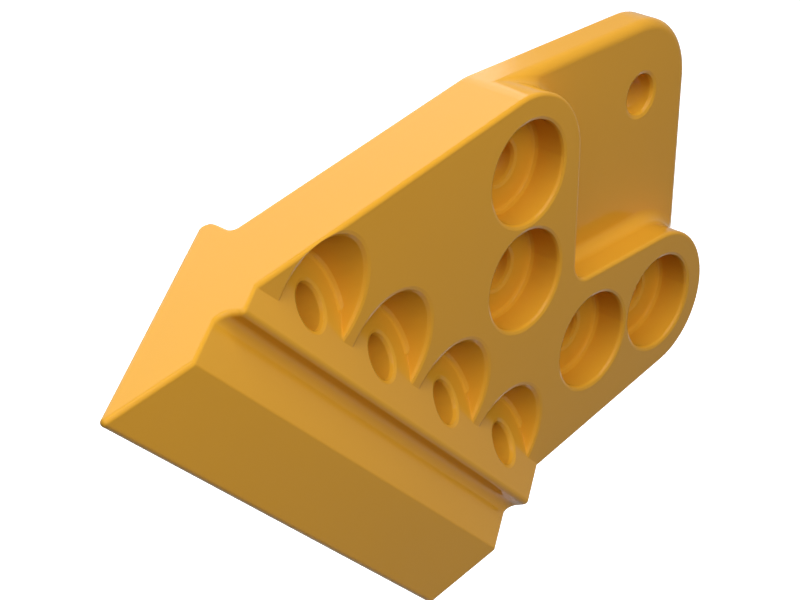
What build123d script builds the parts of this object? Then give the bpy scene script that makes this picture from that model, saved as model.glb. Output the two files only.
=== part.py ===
from build123d import *
from math import cos, radians, sin, tan
import os

# Bucket side cutter: one steel casting that bolts to the side wall of an excavator bucket,
# with its blade along the wall's leading edge. Millimetres. X runs back along the bucket
# wall, Z up and Y into the wall: the back face seats on the wall at Y = 0, and the front
# face, with the sunk bolt heads, stands at Y = -body_t. The origin is on the back face,
# midway between the two bolts one above the other.

# Bolts of 1 in, with heads sunk in bores. Each rounding at a bore is drawn as flats.
bolt_hole_d = 27.0
rim_r = 3.0
head_bore_r = 33.0
bore_mouth_r = 2.5
bore_foot_r = 3.0
seat_t = 26.5
round_flats = 2

# Plate: metal between neighbouring bores and outside them, and the thin wing at the back
bridge = 6.0
wall = 17.0
body_t = 50.0
wing_t = 25.0
end_slope = 10.0
pad_corner_r = 14.0
pad_foot_r = 8.3
wing_edge_r = 6.5
edge_r = 2.5

# Blade: its edge lies at reach from the top bolt, and leans out of the plate downwards
lead_angle = 45.0
edge_tilt = 1.45
bevel = 36.0
reach = 255.6
tip_proud = 24.3
land_w = 53.8
land_rise = 1.6
groove_run = 28.2
groove_r = 6.0
step_h = 12.9
step_r = 3.5

# Ledge that butts on the edge of the bucket wall, at this distance behind the blade's edge
nose = 129.2
crest_r = 5.5
root_r = 3.0

# Row of bolts through the bevelled seat behind the blade
row_count = 4
row_bore_r = 32.0
row_bridge = 12.2
row_inset = 5.0
row_shift = 2.3

hole_r = bolt_hole_d / 2
pitch = 2 * head_bore_r + bridge
row_pitch = 2 * row_bore_r + row_bridge
margin = head_bore_r + wall

# Bolt axes square to the plate, as (X, Z)
top_bolt = (0, 0)
mid_bolt = (0, -pitch)
low_bolt = (pitch, -2 * pitch)
lug_bolt = (2 * pitch, -2 * pitch)
wing_hole = (2 * pitch, 0)
head_bolts = (top_bolt, mid_bolt, low_bolt, lug_bolt)

# Front face seen from outside, and the blade's section plane. In the section x is v, from
# the edge back towards the bolts, y is the height over the front face, and z is u, down
# along the edge.
front = Plane(origin=(0, -body_t, 0), x_dir=(1, 0, 0), z_dir=(0, -1, 0))
lead = radians(lead_angle)
tilt = radians(edge_tilt)
blade = Plane(
    origin=(top_bolt[0], -body_t, top_bolt[1]),
    x_dir=(cos(lead), 0, sin(lead)),
    z_dir=(sin(lead) * cos(tilt), -sin(tilt), -cos(lead) * cos(tilt)),
)
slope = tan(radians(bevel))

# Cutting shapes run this far past the casting
past = body_t
far = 2 * (reach + past)


def polar(centre, radius, angle):
    return (centre[0] + radius * cos(radians(angle)), centre[1] + radius * sin(radians(angle)))


# Corners of the blade's section: the edge and the ledge's crest lie on the inner bevel,
# which is parallel to the seat of the row of bolts
tip = (-reach, tip_proud)
land_end = polar(tip, land_w, land_rise)
groove = (land_end[0] + groove_run, land_end[1] - groove_run * slope)
step = polar(groove, step_h, 90 - bevel)
crest = (tip[0] + nose, tip[1] - nose * slope)


def seat_height(v):
    """Height of the bevelled seat over the front face."""
    return step[1] - (v - step[0]) * slope


# Where the seat meets the front face: level with the top bolt, and where the edge's lean
# has carried it furthest out
seat_meet = step[0] + step[1] / slope
seat_meet_far = seat_meet - far / 2 * tan(tilt) / slope


def outline(closing_v):
    """The casting from the front, with the blade side closed by a line square to v."""
    upper = polar(top_bolt, margin, 90 + end_slope)
    lower = polar(lug_bolt, margin, end_slope - 90)
    closing = []
    for corner in (upper, lower):
        v = (corner[0] - top_bolt[0]) * cos(lead) + (corner[1] - top_bolt[1]) * sin(lead)
        closing.append(polar(corner, (v - closing_v) / cos(lead - radians(end_slope)), 180 + end_slope))
    top = wing_hole[1] + margin
    right = wing_hole[0] + margin
    with BuildSketch() as sketch:
        with BuildLine():
            Line(closing[0], upper)
            ThreePointArc(upper, polar(top_bolt, margin, 90 + end_slope / 2), (top_bolt[0], top))
            Line((top_bolt[0], top), (wing_hole[0], top))
            ThreePointArc((wing_hole[0], top), polar(wing_hole, margin, 45), (right, wing_hole[1]))
            Line((right, wing_hole[1]), (right, lug_bolt[1]))
            ThreePointArc((right, lug_bolt[1]), polar(lug_bolt, margin, end_slope / 2 - 45), lower)
            Polyline(lower, closing[1], closing[0])
        make_face()
    return front * sketch.sketch


def blade_prism(corners, roundings=()):
    """A section in the blade's plane, run along the edge past both ends."""
    with BuildSketch() as sketch:
        with BuildLine():
            Polyline(*corners, close=True)
        make_face()
        for corner, radius in roundings:
            fillet(sketch.vertices().sort_by_distance((*corner, 0))[0], radius)
    return extrude(blade * sketch.sketch, far / 2, both=True)


def wing_outline():
    """What the thick pad leaves free of the wing, from the front, and open past its edges."""
    pad_right = top_bolt[0] + margin
    pad_top = lug_bolt[1] + margin
    top = wing_hole[1] + margin
    right = wing_hole[0] + margin
    bend = (pad_right + pad_corner_r, pad_top + pad_corner_r)
    with BuildSketch() as sketch:
        with BuildLine():
            ThreePointArc((top_bolt[0], top), polar(top_bolt, margin, 45), (pad_right, top_bolt[1]))
            Line((pad_right, top_bolt[1]), (pad_right, bend[1]))
            ThreePointArc((pad_right, bend[1]), polar(bend, pad_corner_r, 225), (bend[0], pad_top))
            Line((bend[0], pad_top), (lug_bolt[0], pad_top))
            ThreePointArc((lug_bolt[0], pad_top), polar(lug_bolt, margin, 45), (right, lug_bolt[1]))
            Polyline(
                (right, lug_bolt[1]), (right + past, lug_bolt[1]), (right + past, top + past),
                (top_bolt[0], top + past), (top_bolt[0], top),
            )
        make_face()
    return front * sketch.sketch


def wing(whole):
    """The thin wing, with its outer edge rounded."""
    top = wing_hole[1] + margin
    right = wing_hole[0] + margin
    solid = Pos(0, body_t - wing_t, 0) * extrude(whole, -wing_t)
    outer = [
        e for e in edges_at_depth(solid, wing_t)
        if e.center().Z > top - 1 or e.center().X > right - 1
        or (e.center().X > wing_hole[0] and e.center().Z > wing_hole[1])
    ]
    return solid.fillet(wing_edge_r, outer)


def casting():
    """The thick pad and the blade, cut off square to the front at both ends, on the wing."""
    inside_v = crest[0] + 2 * crest_r
    inside = (seat_height(inside_v) - body_t) / 2
    blade_solid = blade_prism(
        [
            tip, land_end, groove, step,
            (inside_v, seat_height(inside_v)), (inside_v, inside), (crest[0], inside), crest,
        ],
        [(groove, groove_r), (step, step_r), (crest, crest_r)],
    )
    beyond_bevel = blade_prism([tip, crest, (crest[0], -far), (tip[0], -far)])
    whole = outline(seat_meet_far)
    pad = extrude(whole, -body_t) - extrude(wing_outline(), -body_t)
    solid = (pad - beyond_bevel + blade_solid) & extrude(outline(-reach - past), far, both=True)
    return solid + (wing(whole) - beyond_bevel)


def edges_at_depth(solid, depth):
    """Edges that lie wholly at one distance in front of the back face."""
    return [e for e in solid.edges() if all(abs(p.Y + depth) < 0.01 for p in (*e.vertices(), e.center()))]


def v_of(edge):
    offset = edge.center() - blade.origin
    return offset.dot(blade.x_dir)


def rounded(solid):
    """The outer edges rounded: ledge foot, then the blade's corners and end faces together.
    The last rounding runs on all round the front and back faces."""
    foot = [e for e in edges_at_depth(solid, 0) if abs(v_of(e) - crest[0]) < 0.01]
    solid = solid.fillet(root_r, foot)

    corners = [
        e for e in solid.edges()
        if e.length > reach and (abs(v_of(e) - tip[0]) < 0.01 or abs(v_of(e) - land_end[0]) < 0.01)
    ]
    end_normal = Vector(-sin(radians(end_slope)), 0, cos(radians(end_slope)))
    for face in solid.faces().filter_by(GeomType.PLANE):
        if abs(face.normal_at().dot(end_normal)) > 0.999999:
            corners += [e for e in face.edges() if abs(e.tangent_at(0).Y) < 0.999]
    return solid.fillet(edge_r, corners)


def row_seats():
    """A plane on the bevelled seat at each bolt of the row, with z out of the metal."""
    along_seat = Vector(cos(radians(bevel)), -sin(radians(bevel)))
    x, y = seat_meet + row_inset * along_seat.X, row_inset * along_seat.Y
    normal = blade.x_dir * sin(radians(bevel)) + blade.y_dir * cos(radians(bevel))
    first = row_shift - (row_count - 1) / 2 * row_pitch
    return [
        Plane(origin=blade.from_local_coords(Vector(x, y, first + n * row_pitch)), z_dir=normal)
        for n in range(row_count)
    ]


def quarter(start, corner, end):
    """The points of a quarter round in a profile, from start to end, tangent at both."""
    points = []
    for n in range(round_flats + 1):
        angle = radians(90 * n / round_flats)
        from_end, from_start = 1 - sin(angle), 1 - cos(angle)
        points.append(tuple(
            c + (s - c) * from_end + (e - c) * from_start for s, c, e in zip(start, corner, end)
        ))
    return points


def bolt_room(seat, steps):
    """What one bolt takes out of the metal: its hole and rim, and above the seat the steps
    for its head."""
    profile = [(0, -far), (hole_r, -far)]
    profile += quarter((hole_r, -rim_r), (hole_r, 0), (hole_r + rim_r, 0))
    profile += steps + [(0, steps[-1][1]), (0, -far)]
    with BuildSketch(Plane.XZ) as sketch:
        with BuildLine():
            Polyline(*profile)
        make_face()
    return seat * revolve(sketch.sketch, Axis.Z)


def sunk_head(seat):
    """The hole and head bore of one bolt of the row, which the bevelled seat leaves open."""
    foot = quarter((row_bore_r - bore_foot_r, 0), (row_bore_r, 0), (row_bore_r, bore_foot_r))
    return bolt_room(seat, foot + [(row_bore_r, 2 * body_t)])


def sunk_head_with_mouth(seat):
    """The hole and head bore of one bolt that is square to the front face."""
    depth = body_t - seat_t
    mouth_r = head_bore_r + bore_mouth_r
    foot = quarter((head_bore_r - bore_foot_r, 0), (head_bore_r, 0), (head_bore_r, bore_foot_r))
    mouth = quarter((head_bore_r, depth - bore_mouth_r), (head_bore_r, depth), (mouth_r, depth))
    return bolt_room(seat, foot + mouth + [(mouth_r, 2 * body_t)])


def row_mouths():
    """What the broken mouths of the tilted bores add. Whole ovals get two flats each on a plain
    block behind the front face, and only what lies over the bevelled seat is kept."""
    block = extrude(front * Rectangle(2 * far, 2 * far), -body_t)
    for seat in row_seats():
        block -= seat * Cylinder(row_bore_r, 4 * body_t)
    across = bore_mouth_r * tan(radians(22.5))
    for on_front, down in ((across, bore_mouth_r), (bore_mouth_r - across, across * cos(radians(45)))):
        face = block.faces().filter_by(Axis.Y).sort_by(Axis.Y)[0]
        block = block.chamfer(on_front, down, face.inner_wires().edges(), face)
    sheet = front * Rectangle(far, far)
    room = extrude(sheet, past) + extrude(sheet, -4 * bore_mouth_r)
    ends = (-far, seat_height(-far)), (far, seat_height(far))
    below_seat = blade_prism([*ends, (-far, seat_height(far))])
    return room - block - below_seat


def square_seat(bolt, depth):
    """A plane across a bolt that is square to the plate, with z out of the front."""
    return Plane(origin=(bolt[0], -depth, bolt[1]), x_dir=(1, 0, 0), z_dir=(0, -1, 0))


def bolted(solid):
    """Every bolt hole, with its sunk head and the rims and mouths rounded."""
    for seat in row_seats():
        solid -= sunk_head(seat)
    solid -= row_mouths()
    for bolt in head_bolts:
        solid -= sunk_head_with_mouth(square_seat(bolt, seat_t))
    solid -= bolt_room(square_seat(wing_hole, wing_t), [(hole_r + rim_r, past)])
    return solid.clean()


def pad_on_wing(solid):
    """The curved foot of the pad. At both ends it runs out along the wing's rounded edge."""
    pad_right = top_bolt[0] + margin + pad_corner_r
    pad_top = lug_bolt[1] + margin + pad_corner_r
    inner_top = wing_hole[1] + margin - 2 * wing_edge_r
    inner_right = wing_hole[0] + margin - 2 * wing_edge_r
    foot = [
        e for e in edges_at_depth(solid, wing_t)
        if (e.center().X < pad_right or e.center().Z < pad_top)
        and e.center().Z < inner_top and e.center().X < inner_right
    ]
    return solid.fillet(pad_foot_r, foot)


side_cutter = bolted(rounded(pad_on_wing(casting())))

os.makedirs("parts", exist_ok=True)
export_step(side_cutter, "parts/side_cutter.step")
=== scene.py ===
from math import cos, pi, radians, sin

import bpy
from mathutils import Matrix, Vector


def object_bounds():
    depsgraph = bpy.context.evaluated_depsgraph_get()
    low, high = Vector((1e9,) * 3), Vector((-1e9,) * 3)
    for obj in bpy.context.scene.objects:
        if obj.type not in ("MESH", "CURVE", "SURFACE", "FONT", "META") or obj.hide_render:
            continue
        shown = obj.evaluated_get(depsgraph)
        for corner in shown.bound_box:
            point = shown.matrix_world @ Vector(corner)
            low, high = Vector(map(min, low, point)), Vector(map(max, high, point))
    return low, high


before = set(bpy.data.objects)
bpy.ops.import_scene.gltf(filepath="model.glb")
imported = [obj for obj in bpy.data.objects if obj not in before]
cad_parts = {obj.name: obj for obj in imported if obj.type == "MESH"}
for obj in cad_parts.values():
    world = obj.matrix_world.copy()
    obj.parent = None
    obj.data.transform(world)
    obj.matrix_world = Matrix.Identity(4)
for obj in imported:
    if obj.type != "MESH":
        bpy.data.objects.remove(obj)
cad_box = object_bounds()

# The camera stands off the cutting edge's end of the part and looks down on its outer face, held
# level with the horizon. Its place, aim and lens give the photograph's view and perspective.
millimetre = 0.001
camera_place = Vector((-821.9, -707.2, 483.4)) * millimetre
camera_ahead = Vector((0.64445, 0.59805, -0.47647))
focal_pixels = 1936.8
image_width = 800
sensor_width = 36.0

lens = bpy.data.cameras.new("camera")
lens.sensor_width = sensor_width
lens.lens = focal_pixels / image_width * sensor_width
camera = bpy.data.objects.new("camera", lens)
camera.location = camera_place
camera.rotation_euler = camera_ahead.to_track_quat("-Z", "Y").to_euler()
bpy.context.collection.objects.link(camera)
bpy.context.scene.camera = camera
bpy.context.scene.view_settings.view_transform = "Standard"

# The casting: one piece of cast steel, shot blasted and sprayed with yellow machine enamel.
# The paint is smooth and half glossy. Over the blasted skin it keeps a faint orange peel and
# a slight unevenness of tone, and it draws thin over every edge.
enamel_colour = "#E4A52F"
enamel_deep_colour = "#E1A22D"

# An enamel's index is nearer 1.5, but with it the pale studio would turn the slopes pale too.
enamel_ior = 1.22

# The gloss goes up and down a little with the cast skin, within this part of the noise's range.
enamel_roughness = 0.12
glossier = 0.02
duller = 0.03
skin_low = 0.3
skin_high = 0.7

# The patterns' widths and heights, and the softness of a painted edge, in millimetres.
tone_width = 90.0
tone_detail = 3.0
tone_roughness = 0.55
skin_width = 14.0
skin_height = 0.04
skin_detail = 2.0
peel_width = 3.5
peel_height = 0.012
peel_detail = 1.0
paint_edge = 0.8
edge_samples = 6


def linear(srgb_hex):
    """The linear colour of an sRGB hex value, with alpha."""
    channels = [int(srgb_hex[n:n + 2], 16) / 255 for n in (1, 3, 5)]
    return [c / 12.92 if c <= 0.04045 else ((c + 0.055) / 1.055) ** 2.4 for c in channels] + [1.0]


def add(tree, kind, inputs=None, **settings):
    """One shader node: its settings, then its inputs as plain values or as (node, output) links.

    Inputs of Mix, Math and Add Shader nodes go by number, because several of them share a name.
    """
    node = tree.nodes.new(kind)
    for name, value in settings.items():
        setattr(node, name, value)
    for name, value in (inputs or {}).items():
        if isinstance(value, tuple) and isinstance(value[0], bpy.types.Node):
            tree.links.new(value[0].outputs[value[1]], node.inputs[name])
        else:
            node.inputs[name].default_value = value
    return node


enamel = bpy.data.materials.new("yellow_machine_enamel_on_cast_steel")
enamel.use_nodes = True
tree = enamel.node_tree
tree.nodes.clear()
place = add(tree, "ShaderNodeTexCoord")
tone = add(
    tree, "ShaderNodeTexNoise",
    {
        "Vector": (place, "Object"), "Scale": 1 / (tone_width * millimetre),
        "Detail": tone_detail, "Roughness": tone_roughness,
    },
)
colour = add(
    tree, "ShaderNodeMix",
    {0: (tone, "Fac"), 6: linear(enamel_deep_colour), 7: linear(enamel_colour)},
    data_type="RGBA",
)
skin = add(
    tree, "ShaderNodeTexNoise",
    {
        "Vector": (place, "Object"), "Scale": 1 / (skin_width * millimetre),
        "Detail": skin_detail,
    },
)
roughness = add(
    tree, "ShaderNodeMapRange",
    {
        "Value": (skin, "Fac"), "From Min": skin_low, "From Max": skin_high,
        "To Min": enamel_roughness - glossier, "To Max": enamel_roughness + duller,
    },
)
peel = add(
    tree, "ShaderNodeTexNoise",
    {
        "Vector": (place, "Object"), "Scale": 1 / (peel_width * millimetre),
        "Detail": peel_detail,
    },
)
soft_edge = add(
    tree, "ShaderNodeBevel", {"Radius": paint_edge * millimetre}, samples=edge_samples,
)
skin_bump = add(
    tree, "ShaderNodeBump",
    {
        "Height": (skin, "Fac"), "Distance": skin_height * millimetre, "Strength": 1.0,
        "Normal": (soft_edge, "Normal"),
    },
)
peel_bump = add(
    tree, "ShaderNodeBump",
    {
        "Height": (peel, "Fac"), "Distance": peel_height * millimetre, "Strength": 1.0,
        "Normal": (skin_bump, "Normal"),
    },
)
paint = add(
    tree, "ShaderNodeBsdfPrincipled",
    {
        "Base Color": (colour, "Result"), "Roughness": (roughness, "Result"),
        "IOR": enamel_ior, "Normal": (peel_bump, "Normal"),
    },
)
add(tree, "ShaderNodeOutputMaterial", {"Surface": (paint, "BSDF")})

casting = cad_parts["side_cutter"]
casting.data.materials.clear()
casting.data.materials.append(enamel)

# The floor: a sheet of white paper far below the part, which hangs by its top bolt. The camera
# and the paint's gloss see it as matt paper that glows a little. To scattered light it is black,
# so that it throws none up at the part, whose lower sides stay as dark as they should.
floor_drop = 1.2
floor_size = 80.0
floor_colour = "#F4F4F4"
unlit_colour = "#000000"
paper_glow = 0.5

low_corner = cad_box[0]
mesh = bpy.data.meshes.new("floor")
half = floor_size / 2
height = low_corner[2] - floor_drop
mesh.from_pydata(
    [(-half, -half, height), (half, -half, height), (half, half, height), (-half, half, height)],
    [], [(0, 1, 2, 3)],
)
floor = bpy.data.objects.new("floor", mesh)
bpy.context.collection.objects.link(floor)


def seen_share(tree):
    """1 where a ray comes from the camera or is mirrored or let through, 0 for scattered light."""
    path = add(tree, "ShaderNodeLightPath")
    either = add(
        tree, "ShaderNodeMath", {0: (path, "Is Camera Ray"), 1: (path, "Is Glossy Ray")},
        operation="MAXIMUM",
    )
    return add(
        tree, "ShaderNodeMath", {0: (either, "Value"), 1: (path, "Is Transmission Ray")},
        operation="MAXIMUM",
    )


sheet = bpy.data.materials.new("white_paper_sheet")
sheet.use_nodes = True
tree = sheet.node_tree
tree.nodes.clear()
seen = seen_share(tree)
shown = add(
    tree, "ShaderNodeMix",
    {0: (seen, "Value"), 6: linear(unlit_colour), 7: linear(floor_colour)},
    data_type="RGBA",
)
matt = add(tree, "ShaderNodeBsdfDiffuse", {"Color": (shown, "Result")})
glow = add(tree, "ShaderNodeEmission", {"Color": (shown, "Result"), "Strength": paper_glow})
paper = add(tree, "ShaderNodeAddShader", {0: (matt, "BSDF"), 1: (glow, "Emission")})
add(tree, "ShaderNodeOutputMaterial", {"Surface": (paper, "Shader")})
mesh.materials.append(sheet)

# The sky: the studio's plain walls, which are pale where the camera or the gloss shows them and
# almost dark to scattered light, for the same reason as the paper.
sky_colour = "#FFFFFF"
pale_sky = 0.65
sky_light = 0.05

world = bpy.data.worlds.new("studio")
bpy.context.scene.world = world
world.use_nodes = True
tree = world.node_tree
tree.nodes.clear()
seen = seen_share(tree)
strength = add(
    tree, "ShaderNodeMix", {0: (seen, "Value"), 2: sky_light, 3: pale_sky}, data_type="FLOAT",
)
sky = add(
    tree, "ShaderNodeBackground",
    {"Color": linear(sky_colour), "Strength": (strength, "Result")},
)
add(tree, "ShaderNodeOutputWorld", {"Surface": (sky, "Background")})

# The lamps: soft boxes above, in front and to the left of the part, as for a product photograph,
# one behind its upper end that gives the long end face its pale gloss, and a weak one low down
# behind that opens up the hidden side. Each lamp's strength is the brightness of its cloth.
lamp_aim = Vector((-0.07, 0.0, -0.1))


def soft_box(name, azimuth, elevation, distance, width, height, brightness):
    """A rectangle of light that looks at the part from the given side, in degrees and metres."""
    light = bpy.data.lights.new(name, "AREA")
    light.shape = "RECTANGLE"
    light.size = width
    light.size_y = height
    light.energy = brightness * pi * width * height
    lamp = bpy.data.objects.new(name, light)
    turn = radians(azimuth)
    rise = radians(elevation)
    outward = Vector((cos(turn) * cos(rise), sin(turn) * cos(rise), sin(rise)))
    lamp.location = lamp_aim + outward * distance
    lamp.rotation_euler = outward.to_track_quat("Z", "Y").to_euler()
    lamp.visible_camera = False
    bpy.context.collection.objects.link(lamp)


soft_box(
    "left_soft_box", azimuth=203, elevation=42, distance=1.6,
    width=0.9, height=1.4, brightness=1.0,
)
soft_box(
    "front_soft_box", azimuth=255, elevation=38, distance=1.6,
    width=1.0, height=1.0, brightness=3.5,
)
soft_box(
    "low_front_soft_box", azimuth=268, elevation=18, distance=1.8,
    width=1.0, height=0.8, brightness=0.95,
)
soft_box(
    "top_soft_box", azimuth=225, elevation=80, distance=1.6,
    width=1.2, height=1.2, brightness=3.5,
)
soft_box(
    "back_soft_box", azimuth=64, elevation=33, distance=2.5,
    width=2.2, height=1.8, brightness=2.6,
)
soft_box(
    "back_fill_box", azimuth=70, elevation=-20, distance=2.0,
    width=1.6, height=1.0, brightness=1.6,
)

# The floor's own lamp: a large flat one that hangs just below the part and shines straight down
# on the paper behind it, so that the background is white and the part gets none of its light.
# Its place, size and gap are in metres.
floor_lamp_place = (2.0, 1.9)
floor_lamp_size = 4.2
floor_lamp_gap = 0.1
floor_lamp_brightness = 1.5

light = bpy.data.lights.new("floor_lamp", "AREA")
light.shape = "SQUARE"
light.size = floor_lamp_size
light.energy = floor_lamp_brightness * pi * floor_lamp_size ** 2
floor_lamp = bpy.data.objects.new("floor_lamp", light)
floor_lamp.location = (*floor_lamp_place, low_corner[2] - floor_lamp_gap)
floor_lamp.visible_camera = False
bpy.context.collection.objects.link(floor_lamp)
